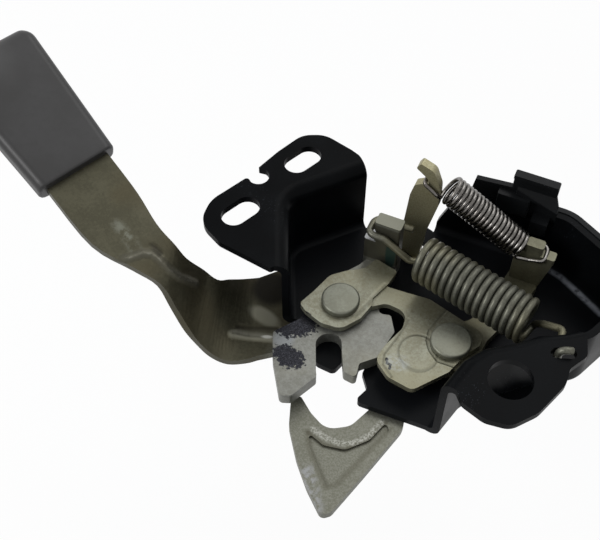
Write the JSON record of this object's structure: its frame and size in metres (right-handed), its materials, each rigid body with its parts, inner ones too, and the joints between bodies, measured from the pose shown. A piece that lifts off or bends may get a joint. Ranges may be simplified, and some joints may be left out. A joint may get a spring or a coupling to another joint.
{
  "type": "hood latch",
  "caption": "Hood latch stamping with a rotary claw, spring-loaded pawl and a safety hook lever with a handle, shown open.",
  "frame": {"origin": "axis of the seated striker bar, at the top face of the bracket's floor", "axes": "+Z along both pivots, out of the bracket's open side; +X from the claw's pivot to the pawl's pivot; +Y the way the striker bar enters, to within 11 degrees"},
  "size_m": [0.2407, 0.1253, 0.0687],
  "materials": {
    "black_paint": "gloss",
    "zinc_plate": "satin",
    "rivet_steel": "satin",
    "bush_steel": "satin",
    "claw_zinc": "satin",
    "pawl_zinc": "satin",
    "lever_zinc": "satin",
    "grey_plastic": "matte",
    "black_plastic": "matte",
    "main_spring_wire": "satin",
    "lever_spring_wire": "bright"
  },
  "bodies": {
    "bracket": {"base_bracket": "black_paint", "front_plate": "zinc_plate", "claw_rivet": "rivet_steel", "pawl_rivet": "rivet_steel", "claw_bush": "bush_steel", "pawl_bush": "bush_steel", "lever_washer": "bush_steel", "cable_guard": "black_plastic"},
    "claw": {"latch_claw": "claw_zinc", "main_spring": "main_spring_wire"},
    "pawl_body": {"pawl": "pawl_zinc", "lever_spring": "lever_spring_wire"},
    "lever": {"safety_lever": "lever_zinc", "lever_cap": "grey_plastic"}
  },
  "joints": [
    {"name": "claw_swing", "type": "hinge", "parent": "bracket", "child": "claw", "pos_m": [-0.0143, 0.007, 0], "axis": [0, 0, 1], "range_deg": [0, 55], "stiffness_Nm_per_rad": 0.6, "springref_deg": -20.05, "deforming": ["main_spring"]},
    {"name": "pawl_swing", "type": "hinge", "parent": "bracket", "child": "pawl_body", "pos_m": [0.0257, 0.007, 0], "axis": [0, 0, 1], "range_deg": [-18, 0], "stiffness_Nm_per_rad": 0.3, "springref_deg": 28.65, "deforming": ["lever_spring"]},
    {"name": "lever_swing", "type": "hinge", "parent": "bracket", "child": "lever", "pos_m": [-0.0143, 0.007, 0], "axis": [0, 0, 1], "range_deg": [0, 12], "stiffness_Nm_per_rad": 0.5, "springref_deg": -17.19}
  ]
}
